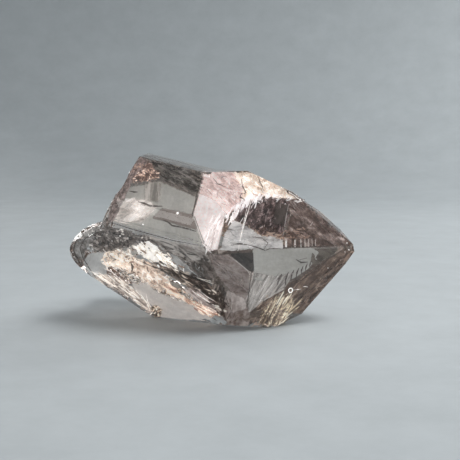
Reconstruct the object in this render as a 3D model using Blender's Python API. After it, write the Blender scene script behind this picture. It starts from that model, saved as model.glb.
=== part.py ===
"""Smoky quartz crystal: one broken-off point of a six-sided crystal, lying on its flat side.

The crystal is a single solid. Its flat growth faces are cut from a block one by one, and
its broken end and underside are bitten into by shallow shell-shaped breaks.
Metres, +Z up. The origin is at the middle of the underside, at the level it rests on.
"""
import math

import bmesh
import bpy
from mathutils import Matrix, Vector

MM = 0.001

# The crystal's long axis points to its tip: the compass angle that it faces, counted from +X
# towards +Y, and its rise, in degrees
AXIS_FACING = -18.0
AXIS_RISE = -12.0

# A quartz prism has a face every 60 degrees of turn about the long axis, and the faces of its
# point lean 38 degrees from the prism towards the tip
PRISM_LEAN = 0.0
POINT_LEAN = 38.0

# Each face is (turn, lean, distance): its turn about the long axis in degrees, counted from the
# top over the front, its lean towards the tip in degrees, and its distance from the core in mm.

# Prism faces, which run along the crystal. The middle and bevel faces blunt its front edges.
PRISM_TOP = (0.0, PRISM_LEAN, 37.5)
PRISM_TOP_BACK = (-25.0, PRISM_LEAN, 33.0)
PRISM_FRONT_UPPER = (62.0, PRISM_LEAN, 28.5)
PRISM_FRONT_MIDDLE = (89.0, PRISM_LEAN, 18.0)
PRISM_FRONT_BEVEL = (119.0, PRISM_LEAN, 4.5)
PRISM_FRONT_LOWER = (128.0, PRISM_LEAN, 1.0)
PRISM_BACK_LOWER = (-120.0, PRISM_LEAN, 11.0)
PRISM_BACK_UPPER = (-60.0, PRISM_LEAN, 24.5)

# Point faces, which close the crystal to its tip
POINT_TOP = (-2.0, 32.0, 37.0)
POINT_FRONT_UPPER = (59.0, POINT_LEAN, 20.5)
POINT_FRONT_MIDDLE = (86.0, 45.0, 13.5)
POINT_FRONT_LOWER = (110.0, 52.0, 11.5)
POINT_FRONT_CORNER = (124.0, 16.0, 3.0)
POINT_UNDERSIDE = (180.0, POINT_LEAN, 7.0)
POINT_BACK_LOWER = (-130.0, POINT_LEAN, 12.0)
POINT_BACK_UPPER = (-60.0, 30.0, 33.0)

# Broken faces at the left end, and the level side that it rests on
BREAK_LEFT = (30.0, -70.0, 34.0)
BREAK_LEFT_LOWER = (180.0, -25.0, 10.0)
REST_SIDE = (180.0, -AXIS_RISE, 0.0)

# Second growth behind the top of the front face. It grew in step with the crystal, so its faces
# are parallel to the crystal's own ones: a hair proud of the front face, a hair inside the top
# one, and a ledge's height over the top back one. Its crown is level.
CREST_STEP = 0.05
CREST_LEDGE = 0.5
CREST_FRONT = (POINT_FRONT_UPPER[0], POINT_FRONT_UPPER[1], POINT_FRONT_UPPER[2] + CREST_STEP)
CREST_TIP = (POINT_TOP[0], POINT_TOP[1], POINT_TOP[2] - CREST_STEP)
CREST_BACK = (PRISM_TOP_BACK[0], PRISM_LEAN, PRISM_TOP_BACK[2] + CREST_LEDGE)
CREST_BACK_UPPER = (PRISM_BACK_UPPER[0], PRISM_LEAN, 22.0)
CREST_CROWN = (0.0, AXIS_RISE, 37.9)
CREST_LEFT = (PRISM_FRONT_UPPER[0], PRISM_LEAN, PRISM_FRONT_UPPER[2] + CREST_STEP)
CREST_END = (0.0, -90.0, 12.0)
CREST_FOOT = (180.0, PRISM_LEAN, -33.0)

# Glassy knob that is left standing at the broken end: an egg shape that lies a little inside the
# front faces of the crystal. Its middle and its radii are in mm, and its slant is the turn of
# its length from level in degrees.
KNOB_MIDDLE = (-20.5, 3.0, 16.5)
KNOB_RADII = (15.0, 13.0, 9.0)
KNOB_SLANT = 5.0
KNOB_INSET = 0.3
KNOB_FRONT = (PRISM_FRONT_BEVEL[0], PRISM_LEAN, PRISM_FRONT_BEVEL[2] - KNOB_INSET)
KNOB_FRONT_LOWER = (PRISM_FRONT_LOWER[0], PRISM_LEAN, PRISM_FRONT_LOWER[2] - KNOB_INSET)

# Shell-shaped breaks, each bitten into a flat face: (face, place, size, slant). The place is a
# point on the face in mm, the size is the bite's length, width and depth in mm, and the slant
# is the turn of its length from level in degrees.
BREAK_LOWER_LONG = (PRISM_FRONT_LOWER, (-15.0, -4.7, 12.7), (30.0, 9.0, 1.2), -30.0)
BREAK_LOWER_SHORT = (PRISM_FRONT_LOWER, (-7.0, -2.0, 5.0), (24.0, 7.0, 0.9), -26.0)
BREAK_LOWER_INNER = (PRISM_FRONT_LOWER, (-6.5, -12.0, 16.4), (19.0, 5.0, 0.7), -34.0)
BREAK_END_WIDE = (BREAK_LEFT, (-24.0, 6.0, 28.0), (20.0, 15.0, 1.4), 15.0)
BREAK_END_EDGE = (BREAK_LEFT, (-22.0, -7.0, 36.0), (11.0, 6.0, 0.5), -20.0)
BREAK_BACK_WIDE = (PRISM_BACK_LOWER, (-20.0, 20.0, 16.0), (15.0, 9.0, 0.9), 14.0)
BREAK_BACK_SMALL = (PRISM_BACK_UPPER, (-13.0, 22.0, 27.0), (7.0, 4.0, 0.4), -35.0)
BREAK_BACK_TIP = (POINT_BACK_LOWER, (22.0, 12.0, 16.0), (6.0, 4.0, 0.4), 30.0)
CHIP_UNDER_TIP = (POINT_UNDERSIDE, (23.5, -0.8, 6.0), (2.4, 3.0, 0.5), 80.0)
CHIP_TOP_LEFT = (BREAK_LEFT, (-18.0, -10.5, 41.5), (5.0, 4.0, 0.6), 60.0)
CHIP_FRONT_FOOT = (POINT_FRONT_CORNER, (3.0, -5.4, 1.2), (6.0, 3.0, 0.5), 0.0)

# The faces are set out about the crystal's core, and the whole crystal is then moved by this
# much in mm, so that the origin lies under the middle of its outline
CORE_TO_MIDDLE = (0.3, -5.7, 0.0)

BLOCK_SIZE = 120.0
BITE_ROUNDNESS = 6.0
BITE_SUBDIVISIONS = 4
KNOB_SUBDIVISIONS = 4
QUARTZ_COLOR = (0.24, 0.16, 0.12, 1.0)
QUARTZ_ROUGHNESS = 0.05
QUARTZ_IOR = 1.544


def clear_scene():
    for old in list(bpy.data.objects):
        bpy.data.objects.remove(old, do_unlink=True)


def compass(facing, rise):
    facing = math.radians(facing)
    rise = math.radians(rise)
    level = math.cos(rise)
    return Vector((level * math.cos(facing), level * math.sin(facing), math.sin(rise)))


def face_normal(face):
    """The way a face looks, from its turn about the long axis and its lean to the tip."""
    tip_way = compass(AXIS_FACING, AXIS_RISE)
    front_way = tip_way.cross(Vector((0.0, 0.0, 1.0))).normalized()
    top_way = front_way.cross(tip_way)
    turn = math.radians(face[0])
    lean = math.radians(face[1])
    outward = top_way * math.cos(turn) + front_way * math.sin(turn)
    return outward * math.cos(lean) + tip_way * math.sin(lean)


def object_from_bmesh(name, bm):
    bmesh.ops.translate(bm, vec=Vector(CORE_TO_MIDDLE) * MM, verts=bm.verts)
    mesh = bpy.data.meshes.new(name)
    bm.to_mesh(mesh)
    bm.free()
    made = bpy.data.objects.new(name, mesh)
    bpy.context.collection.objects.link(made)
    return made


def cut_flat(bm, faces):
    """Cuts a closed shape down by one flat face after another."""
    for face in faces:
        normal = face_normal(face)
        geometry = bm.verts[:] + bm.edges[:] + bm.faces[:]
        cut = bmesh.ops.bisect_plane(
            bm,
            geom=geometry,
            dist=1e-7,
            plane_co=normal * (face[2] * MM),
            plane_no=normal,
            clear_outer=True,
        )
        rim = [item for item in cut["geom_cut"] if isinstance(item, bmesh.types.BMEdge)]
        bmesh.ops.contextual_create(bm, geom=rim)
    bmesh.ops.recalc_face_normals(bm, faces=bm.faces[:])


def growth(name, faces):
    """A block cut down to its growth faces."""
    bm = bmesh.new()
    bmesh.ops.create_cube(bm, size=BLOCK_SIZE * MM)
    cut_flat(bm, faces)
    return object_from_bmesh(name, bm)


def egg(middle, radii, axes, subdivisions):
    """An egg shape, with its middle and radii in mm along the three given axes."""
    bm = bmesh.new()
    bmesh.ops.create_icosphere(bm, subdivisions=subdivisions, radius=1.0)
    bmesh.ops.scale(bm, vec=Vector(radii) * MM, verts=bm.verts)
    bmesh.ops.rotate(bm, cent=(0.0, 0.0, 0.0), matrix=axes, verts=bm.verts)
    bmesh.ops.translate(bm, vec=Vector(middle) * MM, verts=bm.verts)
    return bm


def broken_end_knob():
    axes = Matrix.Rotation(math.radians(KNOB_SLANT), 3, "Y")
    bm = egg(KNOB_MIDDLE, KNOB_RADII, axes, KNOB_SUBDIVISIONS)
    cut_flat(bm, (KNOB_FRONT, KNOB_FRONT_LOWER))
    return object_from_bmesh("broken_end_knob", bm)


def bite(name, shape):
    """An egg-shaped cutter that reaches below a face by the depth of the bite."""
    face, place, size, slant = shape
    normal = face_normal(face)
    point = Vector(place)
    point += normal * (face[2] - point.dot(normal))
    length_way = Vector((0.0, 0.0, 1.0)).cross(normal).normalized()
    length_way.rotate(Matrix.Rotation(math.radians(slant), 3, normal))
    width_way = normal.cross(length_way)
    radius_per_size = 0.5 / math.sqrt(1.0 - (1.0 - 1.0 / BITE_ROUNDNESS) ** 2)
    depth_radius = size[2] * BITE_ROUNDNESS
    middle = point + normal * (depth_radius - size[2])
    axes = Matrix((length_way, width_way, normal)).transposed()
    radii = (size[0] * radius_per_size, size[1] * radius_per_size, depth_radius)
    return object_from_bmesh(name, egg(middle, radii, axes, BITE_SUBDIVISIONS))


def combine(body, other, operation):
    """Joins or cuts body with a helper shape, which stays in the file as a hidden guide."""
    other.hide_render = True
    other.display_type = "WIRE"
    step = body.modifiers.new(other.name, "BOOLEAN")
    step.operation = operation
    step.solver = "EXACT"
    step.object = other


def quartz_material():
    material = bpy.data.materials.new("smoky_quartz")
    material.use_nodes = True
    shader = material.node_tree.nodes["Principled BSDF"]
    shader.inputs["Base Color"].default_value = QUARTZ_COLOR
    shader.inputs["Roughness"].default_value = QUARTZ_ROUGHNESS
    shader.inputs["Metallic"].default_value = 0.0
    shader.inputs["IOR"].default_value = QUARTZ_IOR
    shader.inputs["Transmission Weight"].default_value = 1.0
    return material


def build_crystal():
    crystal = growth("smoky_quartz_crystal", (
        PRISM_TOP,
        PRISM_TOP_BACK,
        PRISM_FRONT_UPPER,
        PRISM_FRONT_MIDDLE,
        PRISM_FRONT_BEVEL,
        PRISM_FRONT_LOWER,
        PRISM_BACK_LOWER,
        PRISM_BACK_UPPER,
        POINT_TOP,
        POINT_FRONT_UPPER,
        POINT_FRONT_MIDDLE,
        POINT_FRONT_LOWER,
        POINT_FRONT_CORNER,
        POINT_UNDERSIDE,
        POINT_BACK_LOWER,
        POINT_BACK_UPPER,
        BREAK_LEFT,
        BREAK_LEFT_LOWER,
        REST_SIDE,
    ))
    crystal.data.materials.append(quartz_material())

    # The broken end is bitten before the knob is joined on, because the knob stood up from it
    combine(crystal, bite("break_end_wide", BREAK_END_WIDE), "DIFFERENCE")
    combine(crystal, bite("break_end_edge", BREAK_END_EDGE), "DIFFERENCE")
    combine(crystal, bite("chip_top_left", CHIP_TOP_LEFT), "DIFFERENCE")

    crest = growth("crest_growth", (
        CREST_FRONT,
        CREST_TIP,
        CREST_BACK,
        CREST_BACK_UPPER,
        CREST_CROWN,
        CREST_LEFT,
        CREST_END,
        CREST_FOOT,
    ))
    combine(crystal, crest, "UNION")
    combine(crystal, broken_end_knob(), "UNION")

    combine(crystal, bite("break_lower_long", BREAK_LOWER_LONG), "DIFFERENCE")
    combine(crystal, bite("break_lower_short", BREAK_LOWER_SHORT), "DIFFERENCE")
    combine(crystal, bite("break_lower_inner", BREAK_LOWER_INNER), "DIFFERENCE")
    combine(crystal, bite("break_back_wide", BREAK_BACK_WIDE), "DIFFERENCE")
    combine(crystal, bite("break_back_small", BREAK_BACK_SMALL), "DIFFERENCE")
    combine(crystal, bite("break_back_tip", BREAK_BACK_TIP), "DIFFERENCE")
    combine(crystal, bite("chip_under_tip", CHIP_UNDER_TIP), "DIFFERENCE")
    combine(crystal, bite("chip_front_foot", CHIP_FRONT_FOOT), "DIFFERENCE")
    return crystal


clear_scene()
build_crystal()
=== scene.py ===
import math
import random

import bmesh
import bpy
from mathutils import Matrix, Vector, noise
from mathutils.bvhtree import BVHTree


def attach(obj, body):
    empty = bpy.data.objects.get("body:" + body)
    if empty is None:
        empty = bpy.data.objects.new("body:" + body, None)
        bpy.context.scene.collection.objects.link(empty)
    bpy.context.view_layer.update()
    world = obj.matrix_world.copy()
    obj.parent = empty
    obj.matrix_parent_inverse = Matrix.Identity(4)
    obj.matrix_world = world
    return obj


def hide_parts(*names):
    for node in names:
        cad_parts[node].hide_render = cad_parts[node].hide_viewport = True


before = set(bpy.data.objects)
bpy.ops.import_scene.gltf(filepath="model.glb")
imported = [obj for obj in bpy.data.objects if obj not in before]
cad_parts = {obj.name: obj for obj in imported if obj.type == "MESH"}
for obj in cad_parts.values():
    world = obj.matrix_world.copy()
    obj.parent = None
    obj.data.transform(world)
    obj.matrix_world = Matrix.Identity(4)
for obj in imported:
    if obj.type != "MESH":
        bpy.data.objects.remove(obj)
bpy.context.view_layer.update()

mm = 0.001
frameSide = 460  # the camera's frame is this many points wide and high


# sets the inputs of a shader node to plain values, or links them to wires
def fill(made, values):
    for name, value in values.items():
        if isinstance(value, Wire):
            value.tree.links.new(value.socket, made.inputs[name])
        else:
            made.inputs[name].default_value = value


# one value or link of a material, so that shader maths reads as plain arithmetic
class Wire:
    def __init__(self, tree, socket=None):
        self.tree = tree
        self.socket = socket

    def add(self, kind, settings, values, output=0):
        made = self.tree.nodes.new("ShaderNode" + kind)
        for name, value in settings.items():
            setattr(made, name, value)
        fill(made, values)
        return Wire(self.tree, made.outputs[output])

    def math(self, operation, *values):
        return self.add("Math", {"operation": operation}, dict(enumerate(values)))

    def __add__(self, other):
        return self.math("ADD", self, other)

    def __sub__(self, other):
        return self.math("SUBTRACT", self, other)

    def __rsub__(self, other):
        return self.math("SUBTRACT", other, self)

    def __mul__(self, other):
        return self.math("MULTIPLY", self, other)

    def least(self, other):
        return self.math("MINIMUM", self, other)

    def step(self, low, high):
        ranged = {"data_type": "FLOAT", "interpolation_type": "SMOOTHSTEP"}
        return self.add("MapRange", ranged, {0: self, 1: low, 2: high, 3: 0.0, 4: 1.0})

    # each stop is its position, red, green and blue
    def ramp(self, stops):
        made = self.add("ValToRGB", {}, {0: self})
        elements = made.socket.node.color_ramp.elements
        while len(elements) < len(stops):
            elements.new(1.0)
        for element, (position, *color) in zip(elements, stops):
            element.position = position
            element.color = (*color, 1.0)
        return made

    # noise of a scale, detail and roughness
    def clouds(self, place, scale, detail, roughness=0.5, bend=0.0):
        return self.add("TexNoise", {}, {
            "Vector": place,
            "Scale": scale,
            "Detail": detail,
            "Roughness": roughness,
            "Distortion": bend,
        })


def deselectAll():
    if bpy.context.mode != "OBJECT":
        bpy.ops.object.mode_set(mode="OBJECT")
    bpy.ops.object.select_all(action="DESELECT")


def pickOnly(*pieces):
    deselectAll()
    for piece in pieces:
        piece.select_set(True)
    bpy.context.view_layer.objects.active = pieces[0]


def joinPieces(pieces, name):
    pickOnly(*pieces)
    bpy.ops.object.join()
    pieces[0].name = name
    return pieces[0]


def newMaterial(name):
    material = bpy.data.materials.new(name)
    material.use_nodes = True
    shader = material.node_tree.nodes["Principled BSDF"]
    return material, shader, Wire(material.node_tree)


def finishPiece(piece, material):
    piece.data.materials.clear()
    piece.data.materials.append(material)
    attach(piece, "root")


cameraLook = {
    "lens": 75.0,
    "sensor": 36.0,
    "place": (0.0045, -0.2377, 0.0515),
    "tilt": 83.0,
}


def makeCamera():
    data = bpy.data.cameras.new("camera")
    data.lens = cameraLook["lens"]
    data.sensor_width = cameraLook["sensor"]
    made = bpy.data.objects.new("camera", data)
    made.location = cameraLook["place"]
    made.rotation_euler = (math.radians(cameraLook["tilt"]), 0, 0)
    bpy.context.scene.collection.objects.link(made)
    bpy.context.scene.camera = made
    bpy.context.view_layer.update()
    return made


stageLook = {
    "color": (0.44, 0.475, 0.49),
    "dark": 0.93,  # the color times this and times the next one are its two tones
    "light": 1.05,
    "toneEnds": (0.3, 0.7),
    "grain": (60.0, 8.0, 0.7),
    "roughness": 0.8,
    "radius": 0.58,
    "height": 0.72,
    "sides": 96,
    "sweep": 0.26,
    "sweepSteps": 16,
}


def stageMaterial():
    material, shader, wire = newMaterial("paleStudio")
    place = wire.add("TexCoord", {}, {}, "Object")
    stops = []
    for end, tone in zip(stageLook["toneEnds"], ("dark", "light")):
        stops.append((end, *[channel * stageLook[tone] for channel in stageLook["color"]]))
    fill(shader, {
        "Base Color": wire.clouds(place, *stageLook["grain"]).ramp(stops),
        "Roughness": stageLook["roughness"],
    })
    return material


# picks the edges or faces of the piece in edit mode that pass a test
def pickParts(piece, kind, test):
    bpy.ops.mesh.select_mode(type=kind)
    bpy.ops.mesh.select_all(action="DESELECT")
    mesh = bmesh.from_edit_mesh(piece.data)
    for part in mesh.edges if kind == "EDGE" else mesh.faces:
        part.select = test(part)
    bmesh.update_edit_mesh(piece.data)


# a bowl with its lid taken off and its bottom edge rounded, seen from inside
def makeStage():
    deselectAll()
    bpy.ops.mesh.primitive_cylinder_add(
        vertices=stageLook["sides"],
        radius=stageLook["radius"],
        depth=stageLook["height"],
        location=(0, 0, stageLook["height"] / 2),
    )
    bowl = bpy.context.object
    bowl.name = "studioSweep"
    bpy.ops.object.transform_apply(location=True)
    bpy.ops.object.mode_set(mode="EDIT")
    pickParts(bowl, "FACE", lambda face: face.normal.z > 0.9)
    bpy.ops.mesh.delete(type="FACE")
    pickParts(bowl, "EDGE", lambda edge: all(vertex.co.z < mm for vertex in edge.verts))
    bpy.ops.mesh.bevel(offset=stageLook["sweep"], segments=stageLook["sweepSteps"], affect="EDGES")
    bpy.ops.mesh.select_all(action="SELECT")
    bpy.ops.mesh.flip_normals()
    bpy.ops.object.mode_set(mode="OBJECT")
    bpy.ops.object.shade_smooth()
    bowl.data.materials.append(stageMaterial())
    print("stage: swept floor", stageLook["radius"] * 2, "m wide")


lightLook = {
    "world": (0.60, 0.60, 0.61),
    "spread": 100,
    # name: (place, aims at, width and height, radiance, color)
    "lamps": {
        "frontLeftPanel": ((-0.20, -0.40, 0.085), (0, 0, 0.03), (0.26, 0.15), 0.85, (1, 0.97, 0.94)),
        "rightHighPanel": ((0.20, -0.08, 0.48), (0.03, 0, 0.02), (0.28, 0.26), 2.5, (1, 1, 1)),
        "backLeftPanel": ((-0.24, 0.38, 0.10), (0, 0, 0.03), (0.22, 0.16), 0.9, (1, 0.99, 0.97)),
        "rightBackPanel": ((0.30, 0.26, 0.26), (0, 0, 0.02), (0.22, 0.2), 1.3, (1, 1, 1)),
        "wallWash": ((0.44, 0.10, 0.40), (0.34, 0.5, 0.05), (0.24, 0.2), 5.5, (1, 1, 1)),
    },
}


def addPanel(name, place, target, size, radiance, color):
    data = bpy.data.lights.new(name, "AREA")
    data.shape = "RECTANGLE"
    data.size, data.size_y = size
    data.energy = radiance * math.pi * size[0] * size[1]
    data.color = color
    data.spread = math.radians(lightLook["spread"])
    lamp = bpy.data.objects.new(name, data)
    lamp.location = place
    away = Vector(target) - Vector(place)
    lamp.rotation_euler = away.to_track_quat("-Z", "Y").to_euler()
    lamp.visible_camera = False
    bpy.context.scene.collection.objects.link(lamp)


def makeLight():
    world = bpy.data.worlds.new("studio")
    bpy.context.scene.world = world
    world.use_nodes = True
    backdrop = world.node_tree.nodes["Background"]
    backdrop.inputs["Color"].default_value = (*lightLook["world"], 1)
    for name, values in lightLook["lamps"].items():
        addPanel(name, *values)
    print("light: studio world and", len(lightLook["lamps"]), "soft panels")


# lengths and areas are in mm
crystalLook = {
    "node": "smoky_quartz_crystal",
    "ior": 1.544,
    "smoke": (0.62, 0.50, 0.42),
    "smokeDensity": 24.0,
    "frost": 0.16,  # roughness of the broken faces
    "frostGrain": (900.0, 6.0),
    "longAxis": (0.930, -0.302, -0.208),  # the way the crystal grew
    "heart": (215, 240),  # a frame point well inside its outline
    "seed": 7,
    "breakArea": 6.0,  # smaller faces belong to a break, unless they swell out like the knob's
    "breakFacing": -0.35,  # and so do large ones that look this far back along the crystal
    "grownFacing": 0.25,  # faces that grew along it look no farther than this to either end
    "restFacing": -0.9,  # the side that it rests on looks this far down
    "lengthways": (-36, 40),  # where the cuts along the crystal begin and end
    "sideways": (-24, 24),
    "grownSteps": ((0.35, 1.0), (1.5, 2.5)),  # least and most between cuts, lengthways and sideways
    "pointSteps": ((1.2, 1.8), (1.2, 1.8)),
    "breakStep": 0.8,  # edges on a break are halved while they are longer than this
    "breakRounds": 4,
    "flatAngle": 0.3,  # flat faces are joined below this angle, in degrees
    "smoothAngle": 9,  # and edges look smooth below this one
    # how far each kind of face leaves its plane, how fast that changes over it, and the roughness,
    # spacing and octaves of the change
    "shell": (0.28, 0.55, (0.6, 2.1, 5)),
    "shellRing": (0.05, 3.1),
    "ringBend": (4.0, 0.3),
    "growthLine": (0.10, 1.7, (0.7, 2.3, 4)),
    "growthTurn": 9,  # how much the lines differ from face to face
    "growthFront": 0.1,
    "growthBack": 0.15,
    "growthPatch": (2.0, 0.13),  # some places have stronger lines
    "patchLeast": 0.5,
    "patchStart": 0.1,
    "pointWave": (0.02, 0.16),
    "pointShift": 20,
    "knobDent": (0.6, 0.25, (0.5, 2.0, 3)),
    "knobEnd": -24,  # the knob lies left of here
    "knobFrost": 0.3,
    "flat": 0.9999,  # normals that agree this well are of one flat face
    "smooth": 0.99,  # and this well, of one smooth one
}
# material slots sort the faces: grown along the crystal, closing its point, broken
grownSlot, pointSlot, breakSlot = 0, 1, 2


def quartzMaterial():
    material, shader, wire = newMaterial("smokyQuartz")
    place = wire.add("TexCoord", {}, {}, "Object")
    broken = wire.add("Attribute", {"attribute_name": "broken"}, {}, "Fac")
    fill(shader, {
        "Base Color": (1, 1, 1, 1),
        "IOR": crystalLook["ior"],
        "Transmission Weight": 1.0,
        "Roughness": broken * crystalLook["frost"] * wire.clouds(place, *crystalLook["frostGrain"]),
    })
    smoke = wire.add("VolumeAbsorption", {}, {
        "Color": (*crystalLook["smoke"], 1),
        "Density": crystalLook["smokeDensity"],
    })
    fill(material.node_tree.nodes["Material Output"], {"Volume": smoke})
    return material


# flat faces are told apart by which way they look and how large they are
def sortFaces(skin, axis):
    mesh = bmesh.from_edit_mesh(skin.data)
    for face in mesh.faces:
        along = face.normal.dot(axis)
        large = face.calc_area() > crystalLook["breakArea"] * mm ** 2
        swollen = all(edge.is_convex for edge in face.edges)
        if not large and not swollen or large and along < crystalLook["breakFacing"]:
            face.material_index = breakSlot
        elif abs(along) < crystalLook["grownFacing"] and face.normal.z > crystalLook["restFacing"]:
            face.material_index = grownSlot
        else:
            face.material_index = pointSlot
    bmesh.update_edit_mesh(skin.data)


def pickSlot(skin, slot):
    bpy.ops.mesh.select_mode(type="FACE")
    bpy.ops.mesh.select_all(action="DESELECT")
    skin.active_material_index = slot
    bpy.ops.object.material_slot_select()


# cuts the faces of one slot into strips of uneven width
def cutAcross(skin, slot, way, reach, step, dice):
    at, high = reach
    places = []
    while at < high:
        at += dice.uniform(*step)
        places.append(at * mm)
    for place in places:
        pickSlot(skin, slot)
        bpy.ops.mesh.bisect(plane_co=way * place, plane_no=way)


def roughen(skin, axis):
    mesh = bmesh.new()
    mesh.from_mesh(skin.data)
    mesh.normal_update()
    moves = {}
    broken = mesh.verts.layers.float.new("broken")
    for vertex in mesh.verts:
        slots = {face.material_index for face in vertex.link_faces}
        first = vertex.link_faces[0].normal
        flat = all(face.normal.dot(first) > crystalLook["flat"] for face in vertex.link_faces)
        smooth = vertex.normal.dot(first) > crystalLook["smooth"]
        at = vertex.co / mm
        if slots == {breakSlot}:
            vertex[broken] = 1.0
            tall, scale, kind = crystalLook["shell"]
            shell = noise.fractal(at * scale, *kind) * tall
            bend, scale = crystalLook["ringBend"]
            turn = noise.noise(at * scale) * bend
            tall, scale = crystalLook["shellRing"]
            ring = math.sin(at.length * scale + turn) * tall
            moves[vertex] = vertex.normal * (shell + ring) * mm
        elif flat and slots == {grownSlot}:
            share = crystalLook["growthFront"] if first.y < 0 else crystalLook["growthBack"]
            more, scale = crystalLook["growthPatch"]
            above = max(0.0, noise.noise(at * scale) - crystalLook["patchStart"])
            patch = crystalLook["patchLeast"] + above * more
            tall, scale, kind = crystalLook["growthLine"]
            turn = crystalLook["growthTurn"]
            line = Vector((at.dot(axis) * scale, first.x * turn, first.y * turn))
            sunk = noise.fractal(line, *kind) * tall * patch
            moves[vertex] = first * (-abs(sunk)) * share * mm
        elif flat and slots == {pointSlot}:
            tall, scale = crystalLook["pointWave"]
            wave = noise.noise(at * scale + first * crystalLook["pointShift"]) * tall
            moves[vertex] = first * (-abs(wave)) * mm
        elif slots == {pointSlot} and at.x < crystalLook["knobEnd"] and smooth:
            tall, scale, kind = crystalLook["knobDent"]
            dent = noise.fractal(at * scale, *kind) * tall
            vertex[broken] = crystalLook["knobFrost"]
            moves[vertex] = vertex.normal * (-abs(dent)) * mm
    for vertex, move in moves.items():
        vertex.co += move
    mesh.to_mesh(skin.data)
    mesh.free()


def makeCrystal():
    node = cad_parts[crystalLook["node"]]
    skin = node.copy()
    skin.data = node.data.copy()
    skin.name = "crystalSkin"
    bpy.context.scene.collection.objects.link(skin)
    for name in ("grown", "point", "broken"):
        skin.data.materials.append(bpy.data.materials.new(name))
    while len(skin.data.materials) > 3:
        skin.data.materials.pop(index=0)
    pickOnly(skin)
    bpy.ops.object.mode_set(mode="EDIT")
    bpy.ops.mesh.select_all(action="SELECT")
    bpy.ops.mesh.remove_doubles(threshold=1e-6)
    bpy.ops.mesh.dissolve_limited(angle_limit=math.radians(crystalLook["flatAngle"]))
    axis = Vector(crystalLook["longAxis"]).normalized()
    side = axis.cross(Vector((0, 0, 1))).normalized()
    up = side.cross(axis).normalized()
    sortFaces(skin, axis)
    dice = random.Random(crystalLook["seed"])
    for slot, steps in ((grownSlot, crystalLook["grownSteps"]), (pointSlot, crystalLook["pointSteps"])):
        cutAcross(skin, slot, axis, crystalLook["lengthways"], steps[0], dice)
        cutAcross(skin, slot, side, crystalLook["sideways"], steps[1], dice)
        cutAcross(skin, slot, up, crystalLook["sideways"], steps[1], dice)
    pickSlot(skin, breakSlot)
    bpy.ops.mesh.quads_convert_to_tris()
    for turn in range(crystalLook["breakRounds"]):
        pickParts(skin, "EDGE", lambda edge: (
            edge.calc_length() > crystalLook["breakStep"] * mm
            and any(face.material_index == breakSlot for face in edge.link_faces)
        ))
        bpy.ops.mesh.subdivide(number_cuts=1)
    bpy.ops.mesh.select_all(action="SELECT")
    bpy.ops.mesh.quads_convert_to_tris()
    bpy.ops.object.mode_set(mode="OBJECT")
    roughen(skin, axis)
    pickOnly(skin)
    bpy.ops.object.shade_smooth_by_angle(angle=math.radians(crystalLook["smoothAngle"]))
    finishPiece(skin, quartzMaterial())
    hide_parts(crystalLook["node"])
    print("crystal skin:", len(skin.data.polygons), "faces")


# what is sealed in the stone: every sheet glows with its own colour by this much, a painted glow in place
# of the light scattered inside it
sealedLook = {
    "paintedGlow": 0.36,
    "skip": 0.02,  # a bent sight line starts this far under the skin, in mm
    "wall": 0.35,  # and ends this far before the far side
    "least": 0.3,
    "tries": 16,  # how often a point past the outline is drawn in, and by what share
    "pull": 0.05,
    "rounds": 7,  # how often the long edges of a sheet are halved
    "wave": (0.7, 2.1, 4),  # roughness, spacing and octaves of a sheet's waves
    "seedDepth": 40,  # each seed shifts the waves and the streaks by this much
    "seedShift": 0.17,
    "mapSize": 100,  # frame points to one unit of a sheet's texture map
}


def sightLine(across, down):
    turn = camera.matrix_world.to_3x3()
    reach = cameraLook["lens"] / cameraLook["sensor"] * frameSide
    return (turn @ Vector((across - frameSide / 2, frameSide / 2 - down, -reach))).normalized()


# follows the sight line of one frame point into the stone, bent by its skin, and stops at a depth
def insideStone(across, down, depth):
    sight = sightLine(across, down)
    place, normal = stone.ray_cast(camera.location, sight)[:2]
    if place is None:
        return None
    slow = 1 / crystalLook["ior"]
    facing = -normal.dot(sight)
    sink = slow * facing - math.sqrt(1 - slow ** 2 * (1 - facing ** 2))
    way = (sight * slow + normal * sink).normalized()
    start = place + way * sealedLook["skip"] * mm
    distance = stone.ray_cast(start, way)[3]
    room = (distance or 0.0) - sealedLook["wall"] * mm
    return start + way * min(depth * mm, max(room, sealedLook["least"] * mm))


# a point past the outline is drawn in until it meets the stone
def settle(across, down, depth, middle):
    for target in (middle, Vector(crystalLook["heart"])):
        for turn in range(sealedLook["tries"]):
            place = insideStone(across, down, depth)
            if place is not None:
                return place
            across += (target.x - across) * sealedLook["pull"]
            down += (target.y - down) * sealedLook["pull"]
    return insideStone(*crystalLook["heart"], depth)


# one texture map, with a value for each point of the mesh
def mapPoints(piece, name, spots):
    layers = piece.data.uv_layers
    while len(layers):
        layers.remove(layers[0])
    layer = layers.new(name=name)
    for loop in piece.data.loops:
        layer.data[loop.index].uv = spots[loop.vertex_index]


def addOutline(name, rim, finest):
    deselectAll()
    bpy.ops.mesh.primitive_circle_add(vertices=len(rim), radius=1, fill_type="NGON")
    sheet = bpy.context.object
    sheet.name = name
    for vertex, (across, down) in zip(sheet.data.vertices, rim):
        vertex.co = (across, -down, 0)
    bpy.ops.object.mode_set(mode="EDIT")
    bpy.ops.mesh.select_all(action="SELECT")
    bpy.ops.mesh.quads_convert_to_tris(ngon_method="BEAUTY")
    for turn in range(sealedLook["rounds"]):
        pickParts(sheet, "EDGE", lambda edge: edge.calc_length() > finest)
        bpy.ops.mesh.subdivide(number_cuts=1)
        bpy.ops.mesh.select_all(action="SELECT")
        bpy.ops.mesh.quads_convert_to_tris()
        bpy.ops.mesh.beautify_fill()
    bpy.ops.object.mode_set(mode="OBJECT")
    return sheet


def rimDistance(point, rim):
    distances = []
    for first, second in zip(rim, rim[1:] + rim[:1]):
        a = Vector((first[0], -first[1]))
        b = Vector((second[0], -second[1]))
        along = b - a
        share = max(0, min(1, (point - a).dot(along) / along.length_squared))
        distances.append((point - a - along * share).length)
    return min(distances)


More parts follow.
